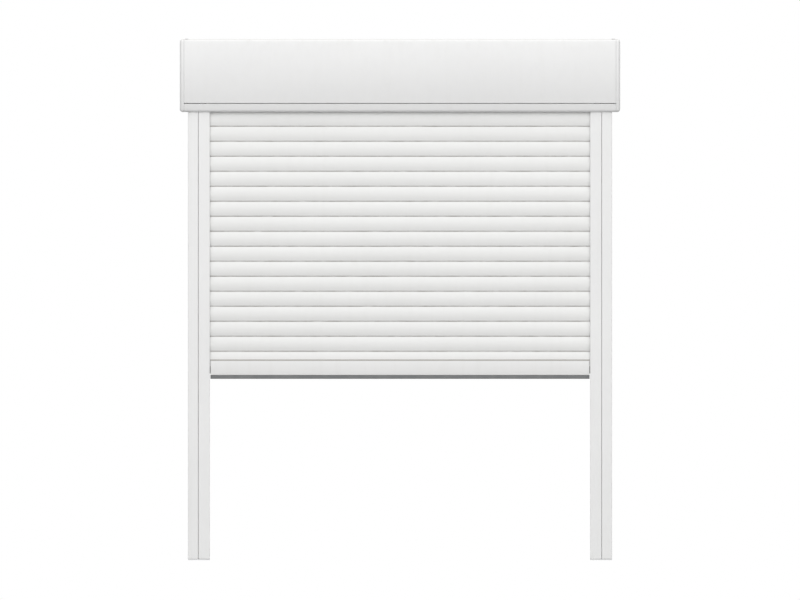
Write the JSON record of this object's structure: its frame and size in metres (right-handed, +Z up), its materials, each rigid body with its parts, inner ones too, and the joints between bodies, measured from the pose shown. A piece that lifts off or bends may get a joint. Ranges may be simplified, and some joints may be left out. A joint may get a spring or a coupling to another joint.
{
  "type": "exterior roller shutter",
  "caption": "Exterior roller shutter with a box, guide rails, interlocking hollow slats and a motor-driven winding shaft.",
  "frame": {"origin": "middle of the four outer wall-fixing holes of the guide rails, on the plane of the rails' backs", "axes": "+X to the right seen from the street, +Y from the street to the window, +Z up along the rails"},
  "size_m": [1.086, 0.1821, 1.2861],
  "materials": {
    "white_coat": "satin white powder coat",
    "slat_coat": "satin white coil coat",
    "zinc_steel": "zinc plated",
    "grey_rubber": "matte dark grey",
    "black_nylon": "moulded, matte",
    "white_nylon": "moulded, matte white",
    "motor_tube": "grey lacquer"
  },
  "bodies": {
    "housing": {"box_shell": "white_coat", "front_panel": "white_coat", "apron_rail": "white_coat", "apron_lip": "white_coat", "end_cap_left": "white_coat", "end_cap_right": "white_coat", "shell_rivets": "white_coat", "panel_screws": "white_coat", "cable_grommet": "grey_rubber", "motor_bracket": "zinc_steel", "carrier_screws": "zinc_steel", "tubular_motor": "motor_tube", "bearing_holder": "zinc_steel", "bearing_outer_ring": "zinc_steel", "guide_rail_left": "white_coat", "guide_rail_right": "white_coat", "rail_cover_left": "white_coat", "rail_cover_right": "white_coat", "rail_gaskets_left": "grey_rubber", "rail_gaskets_right": "grey_rubber", "rail_foot_left": "white_nylon", "rail_foot_right": "white_nylon", "inlet_guide_left": "black_nylon", "inlet_guide_right": "black_nylon", "slat_19": "slat_coat", "slat_20": "slat_coat"},
    "shaft": {"octagon_shaft": "zinc_steel", "crown_ring": "black_nylon", "motor_output": "black_nylon", "drive_adapter": "black_nylon", "idler_capsule": "black_nylon", "idler_pin": "zinc_steel", "bearing_inner_ring": "zinc_steel", "bearing_balls": "zinc_steel", "hanger_straps": "zinc_steel", "wound_slats": "slat_coat"},
    "curtain": {"slat_01": "slat_coat", "slat_02": "slat_coat", "slat_03": "slat_coat", "slat_04": "slat_coat", "slat_05": "slat_coat", "slat_06": "slat_coat", "slat_07": "slat_coat", "slat_08": "slat_coat", "slat_09": "slat_coat", "slat_10": "slat_coat", "slat_11": "slat_coat", "slat_12": "slat_coat", "slat_13": "slat_coat", "slat_14": "slat_coat", "slat_15": "slat_coat", "slat_16": "slat_coat", "slat_17": "slat_coat", "slat_18": "slat_coat", "bottom_bar": "white_coat", "bottom_seal": "grey_rubber", "bar_glides": "black_nylon", "slat_end_locks": "black_nylon"}
  },
  "joints": [
    {"name": "curtain_travel", "type": "slide", "parent": "housing", "child": "curtain", "axis": [0, 0, 1], "range_m": [-0.447, 0]},
    {"name": "shaft_turn", "type": "hinge", "parent": "housing", "child": "shaft", "pos_m": [0, 0.052, 0.6425], "axis": [1, 0, 0], "range_deg": [-5, 630]}
  ],
  "couplings": [
    {"joint": "shaft_turn", "follows": "curtain_travel", "rad_per_m": -24.2}
  ]
}
